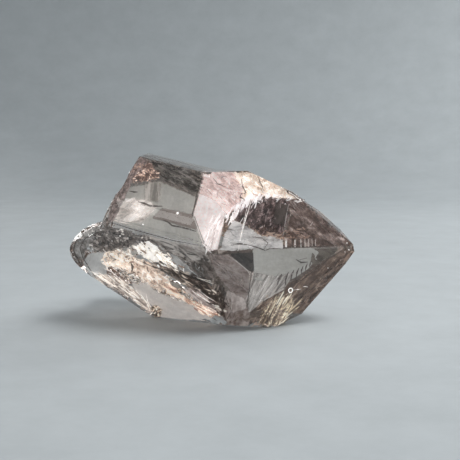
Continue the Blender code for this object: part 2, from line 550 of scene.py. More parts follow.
# lays an outline of frame points into the stone as a gently waved sheet
def laySheet(name, rim, look):
    sheet = addOutline(name, rim, look["finest"])
    middle = sum((Vector(point) for point in rim), Vector((0, 0))) / len(rim)
    flat = [vertex.co.copy() for vertex in sheet.data.vertices]
    size = sealedLook["mapSize"]
    mapPoints(sheet, "framePoints", [(at.x / size, at.y / size) for at in flat])
    inner = sheet.data.attributes.new("inner", "FLOAT", "POINT")
    for vertex, at in zip(sheet.data.vertices, flat):
        inner.data[vertex.index].value = rimDistance(at.xy, rim)
        spot = Vector((at.x, at.y, sealedLook["seedDepth"] * look["seed"])) / look["waveLength"]
        depth = look["depth"] + noise.fractal(spot, *sealedLook["wave"]) * look["wave"]
        vertex.co = settle(at.x, -at.y, max(look["shallowest"], depth), middle)
    return sheet


def finishSheet(sheet, material):
    pickOnly(sheet)
    bpy.ops.object.mode_set(mode="EDIT")
    bpy.ops.mesh.select_all(action="SELECT")
    bpy.ops.mesh.normals_make_consistent(inside=False)
    bpy.ops.object.mode_set(mode="OBJECT")
    bpy.ops.object.shade_smooth()
    finishPiece(sheet, material)


# every sealed sheet glows with its own colour, its painted glow and its own glow added: painted light in
# place of the light scattered round it
def fillSheet(shader, color, alpha, look):
    fill(shader, {
        "Base Color": color,
        "Emission Color": color,
        "Emission Strength": sealedLook["paintedGlow"] + look["glow"],
        "Roughness": look["roughness"],
        "Alpha": alpha,
    })


# the usual values of a veil: its own dictionary, further down, says where it differs
veilLook = {
    "wave": 0.6,  # in mm, over a length in frame points
    "waveLength": 18,
    "shallowest": 0.4,
    "finest": 3,  # the longest edge of its mesh, in frame points
    "streak": (8, 50),  # how close the streaks lie, along and across
    "streakGrain": (1, 9, 0.7),
    "turn": 0,
    "bend": 0.4,
    "cloud": 14,
    "cloudGrain": (10, 0.74),
    "lined": 0.6,  # the share of streaks, against clouds
    "contrast": 2.1,
    "grit": 0.3,
    "gritGrain": (38, 3, 0.6),
    "bump": 0.4,
    "bumpHeight": 0.0002,
    "roughness": 0.4,
    "glow": 0,
    "jag": 0.8,  # how ragged its edge is, and how softly that fades
    "fade": 1.5,
    "open": 0.1,  # tones darker than this are holes
    "soft": 0.08,
    "solid": 0.92,
}


# streaked and clouded tones, with a ragged edge and open places
def veilMaterial(name, look):
    material, shader, wire = newMaterial(name)
    spot = wire.add("UVMap", {"uv_map": "framePoints"}, {})
    inner = wire.add("Attribute", {"attribute_name": "inner"}, {}, "Fac")
    long, wide = look["streak"]
    turned = wire.add("Mapping", {"vector_type": "TEXTURE"}, {
        "Vector": spot,
        "Rotation": (0, 0, math.radians(look["turn"])),
        "Scale": (1 / long, 1 / wide, 1),
        "Location": (sealedLook["seedShift"] * look["seed"], 0, 0),
    })
    warp = wire.clouds(turned, *look["streakGrain"], look["bend"])
    cloud = wire.clouds(spot, look["cloud"], *look["cloudGrain"])
    grit = wire.clouds(spot, *look["gritGrain"])
    mixed = (warp - 0.5) * look["lined"] + (cloud - 0.5) * (1 - look["lined"])
    tone = mixed * look["contrast"] + (grit - 0.5) * look["grit"] + 0.5
    edge = (inner + (warp + cloud - 1) * (4 * look["jag"])).step(0, look["fade"])
    body = tone.step(look["open"], look["open"] + look["soft"])
    fillSheet(shader, tone.ramp(look["tones"]), edge * body * look["solid"], look)
    bumps = {"Height": tone, "Strength": look["bump"], "Distance": look["bumpHeight"]}
    fill(shader, {"Normal": wire.add("Bump", {}, bumps)})
    return material


def makeVeil(name, own):
    look = {**veilLook, **own}
    finishSheet(laySheet(name, look["rim"], look), veilMaterial(name, look))


# a long thin outline, pointed at both ends, round a line of frame points
def slimRim(points, width, tips):
    left, right = [], []
    last = len(points) - 1
    for index, point in enumerate(points):
        before = Vector(points[max(index - 1, 0)])
        after = Vector(points[min(index + 1, last)])
        along = (after - before).normalized()
        across = Vector((-along.y, along.x)) * (width / 2)
        if index in (0, last):
            across *= tips
        left.append(tuple(Vector(point) + across))
        right.append(tuple(Vector(point) - across))
    return left + right[::-1]


# the usual values of thin lines, beads and the bubble
fineLook = {
    "wave": 0.1,
    "waveLength": 18,
    "shallowest": 0.4,
    "finest": 4,
    "tips": 0.35,  # how wide a line is at its ends, against its middle
    "grain": (45, 5),
    "holes": (0.3, 0.45),
    "roughness": 0.35,
    "glow": 0,
    "solid": 0.95,
    "squash": (1, 0.5, 0.8),
    "beadRounds": 2,
    "beadMapSize": 25,
    "ringSides": (32, 8),
}


def fineMaterial(name, look):
    material, shader, wire = newMaterial(name)
    spot = wire.add("UVMap", {"uv_map": "framePoints"}, {})
    grain = wire.clouds(spot, *look["grain"])
    fillSheet(shader, grain.ramp(look["tones"]), grain.step(*look["holes"]) * look["solid"], look)
    return material


# thin cracks or bright hair lines, all of one finish, each given by its width and its points
def makeLines(name, own):
    look = {**fineLook, **own}
    strips = []
    for number, (width, *points) in enumerate(look["lines"]):
        strips.append(laySheet(name + str(number), slimRim(points, width, look["tips"]), look))
    finishSheet(joinPieces(strips, name), fineMaterial(name, look))


# the bright rim of a round bubble, facing the front: a painted highlight
def makeRing(name, own):
    look = {**fineLook, **own}
    deselectAll()
    bpy.ops.mesh.primitive_torus_add(
        major_radius=look["radius"] * mm,
        minor_radius=look["wall"] * mm,
        major_segments=look["ringSides"][0],
        minor_segments=look["ringSides"][1],
        location=insideStone(*look["at"], look["depth"]),
        rotation=(math.radians(cameraLook["tilt"]), 0, 0),
    )
    ring = bpy.context.object
    ring.name = name
    bpy.ops.object.transform_apply(location=True, rotation=True)
    ring.data.uv_layers[0].name = "framePoints"
    finishSheet(ring, fineMaterial(name, look))


# small squashed beads, each given by its frame point and its radius
def makeSpecks(name, own):
    look = {**fineLook, **own}
    beads = []
    for across, down, size in look["specks"]:
        deselectAll()
        place = insideStone(across, down, look["depth"])
        rounds = look["beadRounds"]
        bpy.ops.mesh.primitive_ico_sphere_add(subdivisions=rounds, radius=size * mm, location=place)
        beads.append(bpy.context.object)
        bpy.ops.transform.resize(value=look["squash"])
        bpy.ops.object.transform_apply(location=True, rotation=True, scale=True)
    joined = joinPieces(beads, name)
    spots = [vertex.co.xz / mm / look["beadMapSize"] for vertex in joined.data.vertices]
    mapPoints(joined, "framePoints", spots)
    finishSheet(joined, fineMaterial(name, look))


def insideRim(across, down, rim):
    inside = False
    for (ax, ay), (bx, by) in zip(rim, rim[1:] + rim[:1]):
        if (ay > down) != (by > down) and across < ax + (down - ay) / (by - ay) * (bx - ax):
            inside = not inside
    return inside


# the usual values of a set of strokes
strokeLook = {
    "depth": 0.8,
    "spreadDepth": 0.4,
    "shallowest": 0.3,
    "spread": 22,  # how far the strokes' directions differ, in degrees
    "shortest": 0.6,
    "curl": 0.15,
    "belly": (1.2, 1.6),  # how wide a stroke is in its middle, and how much less at its ends
    "steps": 5,
    "taper": 7,
    "roughness": 0.4,
    "glow": 0,
    "solid": 0.6,
}


# one tone for each stroke, faded at its ends and sides
def strokeMaterial(name, look):
    material, shader, wire = newMaterial(name)
    span = wire.add("UVMap", {"uv_map": "span"}, {})
    shade = wire.add("Attribute", {"attribute_name": "shade"}, {}, "Fac")
    fades = []
    for side in ("X", "Y"):
        place = wire.add("SeparateXYZ", {}, {0: span}, side)
        fades.append((place * (1 - place) * look["taper"]).least(1))
    fillSheet(shader, shade.ramp(look["tones"]), fades[0] * fades[1] * look["solid"], look)
    return material


# one tapering stroke of a few faces, laid into the stone along frame points
def layStroke(start, turn, length, width, look, dice):
    bpy.ops.mesh.primitive_grid_add(x_subdivisions=look["steps"], y_subdivisions=1, size=1)
    stroke = bpy.context.object
    curl = dice.uniform(-1, 1) * look["curl"] * length
    way = Vector((math.cos(turn), -math.sin(turn)))
    off = Vector((way.y, -way.x))
    depth = look["depth"] + dice.uniform(-1, 1) * look["spreadDepth"]
    fat, thin = look["belly"]
    spans = []
    for vertex in stroke.data.vertices:
        s, t = vertex.co.x, vertex.co.y
        spans.append((s + 0.5, t + 0.5))
        bow = curl * (0.25 - s * s) * 2
        girth = t * width * (fat - thin * s * s)
        at = start + way * (s * length) + off * (bow + girth)
        vertex.co = settle(at.x, at.y, max(look["shallowest"], depth), start)
    mapPoints(stroke, "span", spans)
    tint = dice.random()
    shade = stroke.data.attributes.new("shade", "FLOAT", "POINT")
    for value in shade.data:
        value.value = tint
    return stroke


# many fine strokes with one general direction, or away from an apex, inside an outline
def makeStrokes(name, own):
    look = {**strokeLook, **own}
    dice = random.Random(look["seed"])
    lows = [min(point[side] for point in look["rim"]) for side in (0, 1)]
    highs = [max(point[side] for point in look["rim"]) for side in (0, 1)]
    made = []
    while len(made) < look["count"]:
        start = Vector((dice.uniform(lows[0], highs[0]), dice.uniform(lows[1], highs[1])))
        seen = insideStone(start.x, start.y, look["depth"])
        if seen is None or not insideRim(start.x, start.y, look["rim"]):
            continue
        turn = math.radians(look["turn"] + dice.gauss(0, look["spread"]))
        if "apex" in look:
            away = start - Vector(look["apex"])
            turn = math.atan2(-away.y, away.x)
        length = dice.uniform(*look["long"]) * dice.uniform(look["shortest"], 1)
        made.append(layStroke(start, turn, length, dice.uniform(*look["wide"]), look, dice))
    finishSheet(joinPieces(made, name), strokeMaterial(name, look))


# the usual values of an air gap
gapLook = {
    "waveLength": 9,
    "shallowest": 0.4,
    "finest": 3,
    "thickness": 0.04,
    "frost": 0.12,
    "frostGrain": (700, 5),
}


def gapMaterial(name, look):
    material, shader, wire = newMaterial(name)
    place = wire.add("TexCoord", {}, {}, "Object")
    fill(shader, {
        "Roughness": wire.clouds(place, *look["frostGrain"]) * look["frost"],
        "Base Color": (*look["tint"], 1),
        "IOR": 1 / crystalLook["ior"],
        "Transmission Weight": 1.0,
    })
    return material


# an open crack: a thin sheet of air that mirrors what is round it
def makeGap(name, own):
    look = {**gapLook, **own}
    sheet = laySheet(name, look["rim"], look)
    finishSheet(sheet, gapMaterial(name, look))
    wall = sheet.modifiers.new("wall", "SOLIDIFY")
    wall.thickness = look["thickness"] * mm
    wall.offset = 0
    bpy.ops.object.modifier_apply(modifier=wall.name)


bpy.context.scene.view_settings.view_transform = "Standard"
bpy.context.scene.cycles.transparent_max_bounces = 32
camera = makeCamera()
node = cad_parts[crystalLook["node"]]
stone = BVHTree.FromPolygons([v.co for v in node.data.vertices], [p.vertices for p in node.data.polygons])
makeCrystal()

# sheets of clouded or streaked tones, from the left end to the foot: painted light and shade inside the
# stone, bright tones as painted reflections off inner cracks, dark tones as painted shade over the smoky
# colour, grey tones as the painted view through the clear stone
# the grey seen through the clear stone on the left, painted in
makeVeil("leftWindow", {
    "rim": [(126, 187), (160, 181), (197, 197), (192, 214), (206, 244), (175, 240), (133, 229), (112, 222),
        (118, 203)],
    "depth": 3.2, "seed": 1, "wave": 0.3, "streak": (1.4, 8), "turn": 80, "cloud": 4, "lined": 0.5,
    "contrast": 1, "glow": 0.15, "jag": 1, "solid": 0.95,
    "tones": [(0.38, 0.34, 0.335, 0.315), (0.62, 0.46, 0.455, 0.43)],
})
# darker and lighter bars: painted light and shade of the striations seen through the stone
makeVeil("windowStripes", {
    "rim": [(143, 182), (150, 180), (163, 181), (162, 200), (158, 204), (150, 202), (143, 203)],
    "depth": 2.4, "seed": 2, "wave": 0.4, "streak": (1.8, 20), "turn": 86, "bend": 0.1, "lined": 0.95,
    "contrast": 1.8, "glow": 0.2, "jag": 0.6, "fade": 3, "solid": 0.7,
    "tones": [(0.36, 0.13, 0.115, 0.1), (0.5, 0.27, 0.245, 0.22), (0.62, 0.52, 0.48, 0.45)],
})
# pale wisps: painted reflections off thin inner cracks
makeVeil("windowWisps", {
    "rim": [(110, 222), (117, 206), (128, 196), (142, 197), (160, 205), (152, 217), (142, 224), (126, 226)],
    "depth": 2, "seed": 3, "wave": 0.8, "streak": (3, 12), "turn": 20, "bend": 0.9, "cloud": 6,
    "lined": 0.7, "contrast": 1.7, "glow": 0.3, "jag": 2.2, "fade": 3.5, "open": 0.3, "solid": 0.85,
    "tones": [(0.36, 0.36, 0.32, 0.295), (0.5, 0.58, 0.525, 0.49), (0.62, 0.82, 0.76, 0.72)],
})
makeVeil("windowShade", {
    "rim": [(150, 219), (162, 206.5), (178, 209.5), (193, 213), (199, 232), (180, 227), (168, 223)],
    "depth": 1.8, "seed": 4, "wave": 0.4, "streak": (3.6, 18), "turn": -12, "contrast": 1.4, "fade": 2,
    "open": 0.2, "solid": 0.85,
    "tones": [(0.38, 0.21, 0.172, 0.155), (0.62, 0.29, 0.245, 0.225)],
})
makeVeil("leftEdgeMottle", {
    "rim": [(138, 157), (148, 156), (147, 164), (139, 172), (132, 184), (124, 202), (114, 221), (104, 226),
        (113, 199), (125, 179), (131, 168)],
    "depth": 1.2, "seed": 5, "streak": (8.4, 30), "turn": 60, "cloud": 19, "lined": 0.4, "glow": 0.1,
    "jag": 1.2, "open": 0.2, "solid": 0.85,
    "tones": [(0.38, 0.1, 0.075, 0.068), (0.5, 0.2, 0.155, 0.145), (0.62, 0.36, 0.28, 0.26)],
})
# rough patch: dark speckles of its grain, with painted highlights in its copper and cream tones
makeVeil("copperPatch", {
    "rim": [(129, 172), (134, 162), (147, 158), (160, 163), (165, 172), (158, 180), (146, 183), (131, 184)],
    "depth": 1.6, "seed": 6, "wave": 1.2, "waveLength": 6, "streak": (15.6, 42), "turn": -8, "cloud": 22,
    "lined": 0.5, "glow": 0.1, "jag": 3, "fade": 4, "open": 0.25,
    "tones": [(0.34, 0.09, 0.058, 0.05), (0.46, 0.2, 0.135, 0.115), (0.56, 0.34, 0.235, 0.195),
        (0.64, 0.62, 0.43, 0.34), (0.72, 1, 0.8, 0.68)],
})
# dark streaked band: painted shade, a striated face seen mirrored inside the stone
makeVeil("topDarkBand", {
    "rim": [(150, 160), (176, 162), (203, 170.5), (199, 192), (196, 197), (186, 190), (172, 184),
        (160, 180), (155, 171)],
    "depth": 1.2, "seed": 7, "streak": (5.4, 28), "turn": -27, "bend": 0.8, "lined": 0.85, "contrast": 3,
    "jag": 4.5, "open": 0.3,
    "tones": [(0.4, 0.03, 0.026, 0.022), (0.52, 0.075, 0.066, 0.058), (0.64, 0.22, 0.2, 0.18)],
})
# pink-white streaks: painted reflections off inner cracks
makeVeil("pinkVeil", {
    "rim": [(203, 170), (236, 170), (243, 178), (246, 192), (243, 202), (229, 217), (224, 214), (214, 203),
        (197, 195)],
    "depth": 1.6, "seed": 8, "streak": (4.8, 18), "turn": -35, "bend": 1.2, "cloud": 10, "contrast": 1.8,
    "glow": 0.2, "fade": 3, "solid": 0.9,
    "tones": [(0.37, 0.46, 0.335, 0.315), (0.48, 0.68, 0.53, 0.505), (0.62, 0.92, 0.8, 0.775)],
})
# pale streaks: painted reflections off inner cracks
makeVeil("paleVeil", {
    "rim": [(198.5, 192), (216, 200), (226, 212), (223, 232), (218, 251), (206.5, 252), (197, 227),
        (192.5, 214)],
    "depth": 1.1, "seed": 9, "wave": 0.5, "streak": (1.6, 12), "turn": 68, "bend": 0.3, "cloud": 6,
    "lined": 0.35, "contrast": 1, "glow": 0.3, "jag": 0.4, "fade": 2,
    "tones": [(0.36, 0.5, 0.44, 0.43), (0.46, 0.64, 0.57, 0.555), (0.6, 0.8, 0.73, 0.72)],
})
# cream and white: painted highlights off inner cracks under the top
makeVeil("creamVeil", {
    "rim": [(232, 170), (254, 171), (272, 179), (288, 190), (298, 199), (280, 199), (262, 196), (250, 202),
        (240, 200), (242, 188), (236, 180)],
    "depth": 1.4, "seed": 10, "wave": 0.8, "streak": (6, 16), "turn": -38, "bend": 1.5, "glow": 0.22,
    "jag": 1.8, "fade": 2,
    "tones": [(0.34, 0.46, 0.35, 0.28), (0.44, 0.72, 0.6, 0.51), (0.56, 0.88, 0.78, 0.69),
        (0.66, 1, 0.97, 0.93)],
})
# white fringe: painted reflections along the edge of a crack
makeVeil("whiteFringe", {
    "rim": [(224, 216), (232, 205), (242, 199), (252, 192), (270, 192), (290, 197), (270, 199), (256, 202),
        (248, 207), (238, 216), (231, 224)],
    "depth": 0.9, "seed": 11, "streak": (4, 20), "turn": 68, "bend": 0.6, "lined": 0.8, "glow": 0.3,
    "jag": 1.8, "fade": 2.5, "open": 0.38, "solid": 0.9,
    "tones": [(0.38, 0.62, 0.52, 0.52), (0.52, 0.9, 0.83, 0.83), (0.62, 1, 0.98, 0.98)],
})
# dark brown cloud: painted shade over the smoky colour, with lighter blotches
makeVeil("brownCloud", {
    "rim": [(234, 214), (246, 206), (258, 197), (276, 196), (290, 199), (290, 214), (284, 236), (262, 236),
        (248, 226), (238, 224)],
    "depth": 2.2, "seed": 12, "wave": 1, "streak": (8.4, 24), "turn": 60, "cloud": 18, "lined": 0.5,
    "jag": 3, "open": 0.2, "solid": 0.93,
    "tones": [(0.38, 0.028, 0.019, 0.018), (0.5, 0.08, 0.053, 0.05), (0.6, 0.17, 0.12, 0.117),
        (0.7, 0.42, 0.33, 0.32)],
})
# near-black pane: painted shade
makeVeil("darkPane", {
    "rim": [(275.6, 203), (288.6, 203.5), (284.6, 225.5), (272.6, 224.5)],
    "depth": 1, "seed": 13, "wave": 0.1, "streak": (2.4, 12), "turn": 78, "cloud": 22, "jag": 0,
    "fade": 0.5,
    "tones": [(0.4, 0.055, 0.043, 0.037), (0.62, 0.105, 0.084, 0.075)],
})
# the tip's dark brown: the smoky colour of the thick stone, deepened by painted shade
makeVeil("tipSmokeAndShade", {
    "rim": [(286, 198), (302, 198), (314, 206), (330, 219), (344, 232), (351, 243), (351, 247),
        (318, 247.5), (283, 247), (284, 236), (290, 214)],
    "depth": 2.6, "seed": 14, "wave": 0.8, "streak": (4.2, 14), "turn": -38, "cloud": 12, "jag": 1,
    "tones": [(0.36, 0.075, 0.05, 0.042), (0.5, 0.16, 0.112, 0.096), (0.62, 0.28, 0.212, 0.19),
        (0.74, 0.6, 0.51, 0.47)],
})
# grey patch: the painted view through the clear stone
makeVeil("greyPatch", {
    "rim": [(219, 251), (225, 232), (234, 220), (248, 226), (262, 236), (276, 236), (283, 240),
        (283, 248.5), (250, 250), (232, 251)],
    "depth": 1.9, "seed": 15, "wave": 0.5, "streak": (3.6, 13), "turn": 5, "cloud": 8, "glow": 0.15,
    "jag": 1.2, "fade": 1, "solid": 0.93,
    "tones": [(0.36, 0.28, 0.265, 0.262), (0.46, 0.46, 0.45, 0.448), (0.62, 0.66, 0.645, 0.64)],
})
makeVeil("panelShade", {
    "rim": [(207.5, 254), (230, 253.5), (250, 272), (250, 300), (243, 306), (230, 292), (216, 275)],
    "depth": 2, "seed": 16, "streak": (2.4, 10), "turn": -12, "cloud": 6, "contrast": 1.8, "solid": 0.93,
    "tones": [(0.36, 0.13, 0.095, 0.085), (0.48, 0.25, 0.205, 0.19), (0.64, 0.37, 0.325, 0.31)],
})
# black-brown triangle: painted shade
makeVeil("blackTriangle", {
    "rim": [(228, 253.2), (253.5, 252), (254.5, 274), (247, 270)],
    "depth": 1, "seed": 17, "wave": 0.1, "streak": (3.6, 18), "turn": -40, "jag": 0.2, "fade": 0.6,
    "solid": 0.95,
    "tones": [(0.4, 0.012, 0.01, 0.009), (0.62, 0.05, 0.04, 0.036)],
})
# grey window: the painted view through the clear stone
makeVeil("greyWindow", {
    "rim": [(252, 249), (283, 248), (312, 247.6), (320, 252), (310, 268), (294, 279), (276, 284),
        (254, 280)],
    "depth": 1.7, "seed": 18, "wave": 0.2, "streak": (1.8, 8), "turn": 4, "cloud": 5, "contrast": 1,
    "glow": 0.1, "fade": 1, "open": 0.05, "solid": 0.93,
    "tones": [(0.4, 0.34, 0.335, 0.315), (0.62, 0.45, 0.45, 0.43)],
})
# dark olive at the tip: painted shade over the smoky colour
makeVeil("oliveTip", {
    "rim": [(312, 248.4), (344, 247.8), (330, 257), (316, 266), (310, 262)],
    "depth": 1.6, "seed": 19, "wave": 0.4, "streak": (4.8, 14), "turn": -25, "cloud": 9, "solid": 0.85,
    "tones": [(0.38, 0.07, 0.058, 0.045), (0.62, 0.16, 0.138, 0.115)],
})
makeVeil("fanPane", {
    "rim": [(254, 272), (276, 276), (294, 272), (290, 281), (284, 290), (268, 299), (258, 306), (249, 314),
        (245, 300), (250, 285)],
    "depth": 1.5, "seed": 20, "wave": 0.5, "streak": (2.6, 30), "turn": 62, "bend": 0.5, "lined": 0.9,
    "glow": 0.1, "jag": 0.6, "fade": 0.8, "solid": 0.93,
    "tones": [(0.36, 0.16, 0.145, 0.135), (0.46, 0.34, 0.32, 0.305), (0.62, 0.52, 0.495, 0.475)],
})
makeVeil("midPane", {
    "rim": [(226, 288), (246, 300), (251, 308), (250, 326), (240, 328), (226, 326), (222, 306)],
    "depth": 1.6, "seed": 21, "wave": 0.4, "streak": (3, 14), "turn": 75, "solid": 0.9,
    "tones": [(0.36, 0.17, 0.13, 0.115), (0.5, 0.33, 0.28, 0.262), (0.64, 0.56, 0.5, 0.475)],
})
makeVeil("foldPane", {
    "rim": [(229, 291), (238, 294), (246, 300), (247, 308), (240, 312), (230, 314), (231, 302)],
    "depth": 1.1, "seed": 43, "wave": 0.3, "streak": (2.4, 12), "turn": 70, "cloud": 8, "lined": 0.5,
    "glow": 0.1, "jag": 1, "solid": 0.9,
    "tones": [(0.36, 0.3, 0.255, 0.24), (0.5, 0.42, 0.375, 0.36), (0.64, 0.58, 0.53, 0.51)],
})
# lower right dark brown: the smoky colour of the thick stone, deepened by painted shade
makeVeil("lowerSmokeAndShade", {
    "rim": [(344, 248), (352, 249), (349, 262), (336, 278), (325, 293), (314, 303), (300, 314), (284, 314),
        (256, 310), (254, 300), (276, 287), (300, 278), (328, 257)],
    "depth": 2.2, "seed": 22, "streak": (3.6, 20), "turn": 46, "cloud": 12, "solid": 0.94,
    "tones": [(0.36, 0.066, 0.04, 0.028), (0.5, 0.135, 0.09, 0.068), (0.64, 0.25, 0.18, 0.14),
        (0.74, 0.52, 0.42, 0.34)],
})
# gold and cream streaks: painted reflections off inner cracks, between dark streaks of painted shade
makeVeil("goldStreaks", {
    "rim": [(256, 325), (262, 310), (270, 300), (280, 294), (294, 297), (296, 310), (286, 325), (270, 328)],
    "depth": 1.3, "seed": 23, "wave": 0.7, "streak": (2.2, 34), "turn": 64, "bend": 0.25, "lined": 0.95,
    "contrast": 1.4, "glow": 0.16, "jag": 1.4, "fade": 3, "solid": 0.9,
    "tones": [(0.36, 0.07, 0.046, 0.03), (0.46, 0.19, 0.14, 0.1), (0.52, 0.52, 0.42, 0.31),
        (0.6, 0.95, 0.86, 0.68), (0.66, 1, 0.98, 0.88)],
})
# dark mottle of the broken lower left: painted shade, its palest tone painted glints
makeVeil("darkMottle", {
    "rim": [(88, 240), (95, 229), (106, 225), (133, 231), (152, 238), (162, 246), (140, 243), (120, 250),
        (100, 254), (90, 250)],
    "depth": 1.6, "seed": 24, "wave": 1, "waveLength": 8, "streak": (9.6, 26), "turn": -18, "cloud": 20,
    "lined": 0.45, "jag": 2.5, "open": 0.2, "solid": 0.88,
    "tones": [(0.36, 0.035, 0.03, 0.026), (0.5, 0.12, 0.1, 0.09), (0.62, 0.24, 0.215, 0.2),
        (0.76, 0.8, 0.75, 0.7)],
})
# grey mottle over the knob: painted shade laid over its skin
makeVeil("knobVeil", {
    "rim": [(71, 250), (75, 240), (84, 231), (95, 225), (108, 222), (100, 232), (92, 243), (86, 252),
        (84, 262), (76, 258)],
    "depth": 1.6, "seed": 41, "wave": 0.5, "waveLength": 8, "streak": (7, 22), "turn": -38, "cloud": 16,
    "lined": 0.5, "glow": 0.05, "jag": 1.4, "open": 0.15, "solid": 0.85,
    "tones": [(0.36, 0.1, 0.088, 0.08), (0.48, 0.22, 0.21, 0.2), (0.62, 0.4, 0.395, 0.385)],
})
# grey window below the left one: the painted view through the clear stone
makeVeil("underWindow", {
    "rim": [(134, 231), (176, 242), (204, 246), (212, 262), (200, 268), (184, 262), (166, 252), (150, 240)],
    "depth": 2.6, "seed": 25, "wave": 0.5, "streak": (4.2, 16), "turn": -20, "cloud": 10, "glow": 0.1,
    "jag": 1.2, "solid": 0.88,
    "tones": [(0.38, 0.18, 0.158, 0.145), (0.5, 0.3, 0.278, 0.262), (0.64, 0.46, 0.435, 0.415)],
})
# bright patch: painted reflections off an inner crack
makeVeil("brightPatch", {
    "rim": [(135, 247), (141, 241.5), (149, 241), (157, 247), (166, 256), (174, 263), (186, 273),
        (172, 270), (160, 265), (148, 261), (139, 255)],
    "depth": 0.9, "seed": 26, "wave": 0.8, "streak": (5.4, 26), "turn": -34, "bend": 0.8, "cloud": 12,
    "glow": 0.3, "jag": 2.2, "open": 0.36, "solid": 0.96,
    "tones": [(0.36, 0.42, 0.34, 0.28), (0.44, 0.85, 0.79, 0.71), (0.56, 1, 0.98, 0.95)],
})
# cream patch: painted reflections off an inner crack
makeVeil("creamPatch", {
    "rim": [(101, 258), (106, 251), (117, 248), (128, 253), (136, 259), (133, 266), (120, 269), (106, 267)],
    "depth": 1, "seed": 27, "wave": 0.9, "streak": (7.2, 26), "turn": -22, "bend": 1, "cloud": 17,
    "glow": 0.28, "jag": 2.2, "open": 0.36, "solid": 0.94,
    "tones": [(0.36, 0.24, 0.17, 0.13), (0.44, 0.66, 0.54, 0.45), (0.54, 0.95, 0.88, 0.79),
        (0.62, 1, 1, 0.96)],
})
# peach and white sheet: painted reflections off an inner crack
makeVeil("peachSheet", {
    "rim": [(118, 262), (136, 258), (152, 262), (166, 272), (172, 286), (160, 292), (146, 285), (134, 276),
        (122, 270)],
    "depth": 1.5, "seed": 28, "wave": 1.1, "waveLength": 9, "streak": (5, 22), "turn": -38, "bend": 1.2,
    "cloud": 16, "contrast": 1.8, "glow": 0.2, "jag": 2.5, "open": 0.33,
    "tones": [(0.34, 0.16, 0.105, 0.08), (0.43, 0.44, 0.335, 0.27), (0.54, 0.68, 0.56, 0.48),
        (0.66, 1, 0.95, 0.88)],
})
# smooth pane: the painted view through the clear stone
makeVeil("smoothPane", {
    "rim": [(128, 281), (146, 284), (164, 294), (186, 302), (208, 312), (214, 321), (180, 320.5),
        (160, 318), (150, 305), (138, 294)],
    "depth": 2.3, "seed": 29, "wave": 0.25, "streak": (1.8, 10), "turn": -32, "cloud": 5, "contrast": 1.2,
    "glow": 0.2, "jag": 1.2, "open": 0.05, "solid": 0.9,
    "tones": [(0.38, 0.46, 0.435, 0.42), (0.62, 0.6, 0.575, 0.555)],
})
# cream and white streaks along the lower edge: painted reflections off inner cracks
makeVeil("edgeStrokes", {
    "rim": [(88, 273), (98, 274), (112, 274), (128, 282), (142, 296), (152, 307), (153, 318), (139, 305),
        (119, 293), (99, 282)],
    "depth": 1, "seed": 30, "wave": 0.8, "waveLength": 8, "streak": (6, 30), "turn": -42, "bend": 0.8,
    "cloud": 17, "lined": 0.7, "contrast": 1.6, "glow": 0.22, "jag": 1.8, "open": 0.3, "solid": 0.9,
    "tones": [(0.36, 0.2, 0.16, 0.135), (0.46, 0.46, 0.4, 0.36), (0.56, 0.72, 0.64, 0.57),
        (0.64, 1, 0.97, 0.92)],
})
# peach ribbon: painted reflections off an inner crack
makeVeil("peachRibbon", {
    "rim": [(160, 283), (170, 284), (184, 296), (200, 303), (214, 310), (223, 317), (210, 318), (196, 308),
        (180, 300), (167, 294)],
    "depth": 1, "seed": 31, "streak": (4.8, 30), "turn": -30, "lined": 0.75, "glow": 0.2, "jag": 1.2,
    "open": 0.33, "solid": 0.93,
    "tones": [(0.37, 0.3, 0.185, 0.14), (0.46, 0.7, 0.52, 0.42), (0.56, 0.96, 0.82, 0.69),
        (0.64, 1, 0.95, 0.86)],
})
# dark wedge: painted shade
makeVeil("darkWedge", {
    "rim": [(152, 262), (166, 262), (188, 273), (205, 276), (220, 292), (230, 312), (228, 322), (218, 314),
        (206, 300), (186, 286), (166, 274)],
    "depth": 1.7, "seed": 32, "wave": 0.8, "streak": (3.6, 24), "turn": -32, "cloud": 12, "lined": 0.8,
    "jag": 2.5, "open": 0.25, "solid": 0.95,
    "tones": [(0.38, 0.025, 0.017, 0.014), (0.5, 0.085, 0.06, 0.049), (0.6, 0.2, 0.15, 0.125),
        (0.7, 0.66, 0.55, 0.47)],
})
# dark band along the edge: painted shade
makeVeil("darkEdge", {
    "rim": [(176, 254), (190, 262), (206, 256), (216, 276), (228, 294), (230, 314), (222, 300), (208, 284),
        (192, 272)],
    "depth": 2.2, "seed": 33, "wave": 0.8, "streak": (4.2, 22), "turn": -45, "cloud": 12, "lined": 0.7,
    "jag": 2.5, "open": 0.3, "solid": 0.93,
    "tones": [(0.4, 0.035, 0.027, 0.022), (0.55, 0.1, 0.08, 0.07), (0.66, 0.24, 0.21, 0.195)],
})
makeVeil("mauveWedge", {
    "rim": [(182, 288), (190, 287), (202, 292), (214, 302), (223, 316), (212, 313), (200, 304), (190, 296)],
    "depth": 0.95, "seed": 45, "wave": 0.4, "streak": (3, 20), "turn": -38, "cloud": 9, "lined": 0.7,
    "glow": 0.15, "jag": 1.8, "fade": 2, "open": 0.2, "solid": 0.85,
    "tones": [(0.36, 0.2, 0.15, 0.135), (0.48, 0.42, 0.345, 0.325), (0.62, 0.68, 0.6, 0.575)],
})
# grey window in the end face: the painted view through the clear stone
makeVeil("endFacet", {
    "rim": [(82, 262), (88, 253), (103, 251.5), (107, 262), (108, 279), (98, 281), (90, 275)],
    "depth": 1.4, "seed": 34, "wave": 0.2, "streak": (2.4, 8), "turn": 70, "cloud": 6, "glow": 0.18,
    "open": 0.05, "solid": 0.85,
    "tones": [(0.38, 0.34, 0.35, 0.35), (0.62, 0.46, 0.47, 0.47)],
})
